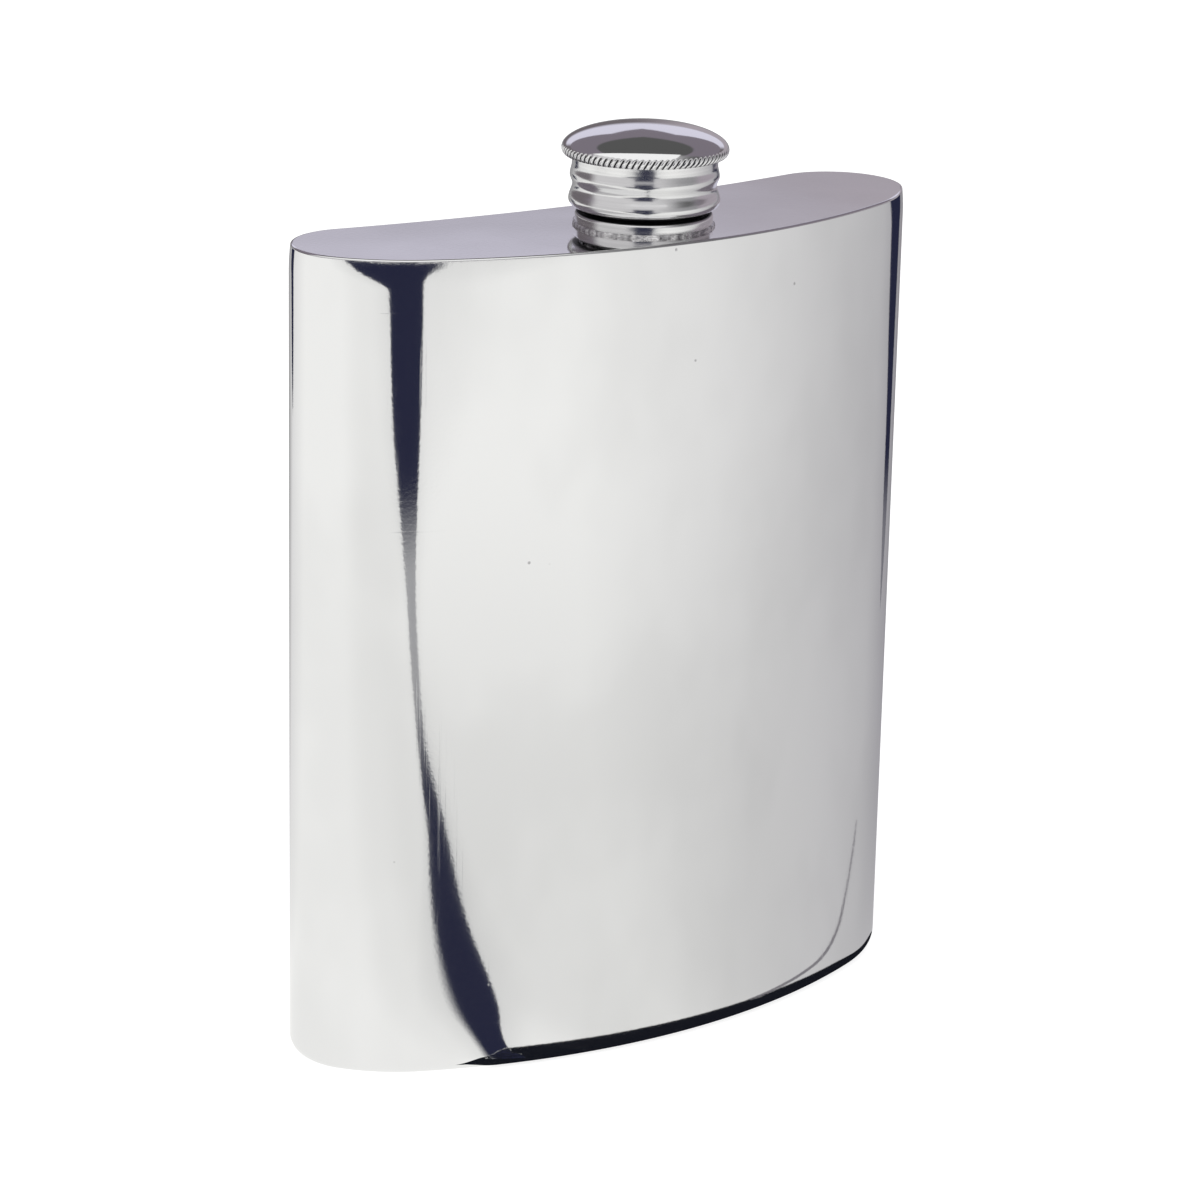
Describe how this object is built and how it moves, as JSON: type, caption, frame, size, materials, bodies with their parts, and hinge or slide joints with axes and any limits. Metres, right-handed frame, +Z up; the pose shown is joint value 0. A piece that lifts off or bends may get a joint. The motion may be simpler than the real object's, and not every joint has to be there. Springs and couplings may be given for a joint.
{
  "type": "hip flask",
  "caption": "Curved pocket hip flask with flat top and base plates, a soldered threaded neck and a rope-edged screw cap.",
  "frame": {"origin": "middle of the plan's box, on the surface that the flask stands on", "axes": "+Z up along the cap's axis direction; +X towards the flask's right end as seen from its bulging front; the bulging front faces -Y and the hollow back faces +Y"},
  "size_m": [0.095, 0.0298, 0.1244],
  "materials": {
    "polished_pewter": "polished pewter with fine hairline scratches",
    "turned_pewter": "turned pewter with fine concentric lines",
    "solder": "soft solder, dull and slightly grainy",
    "cork": "pressed cork"
  },
  "bodies": {
    "flask": {"front_panel": "polished_pewter", "back_panel": "polished_pewter", "left_seam": "solder", "right_seam": "solder", "top_plate": "polished_pewter", "base_plate": "polished_pewter", "top_fillet": "solder", "base_fillet": "solder", "neck": "turned_pewter", "neck_solder": "solder"},
    "liner": {"cap_liner": "cork"},
    "cap": {"cap_crown": "polished_pewter", "cap_sleeve": "turned_pewter", "cap_bush": "turned_pewter", "cap_solder": "solder"}
  },
  "joints": [
    {"name": "cap_rise", "type": "slide", "parent": "flask", "child": "liner", "axis": [0, 0, 1], "range_m": [0, 0.00876]},
    {"name": "cap_turn", "type": "hinge", "parent": "liner", "child": "cap", "pos_m": [0, -0.0027, 0.12], "axis": [0, 0, 1], "range_deg": [0, 1260]}
  ],
  "couplings": [
    {"joint": "cap_rise", "follows": "cap_turn", "m_per_rad": 0.00039789}
  ]
}
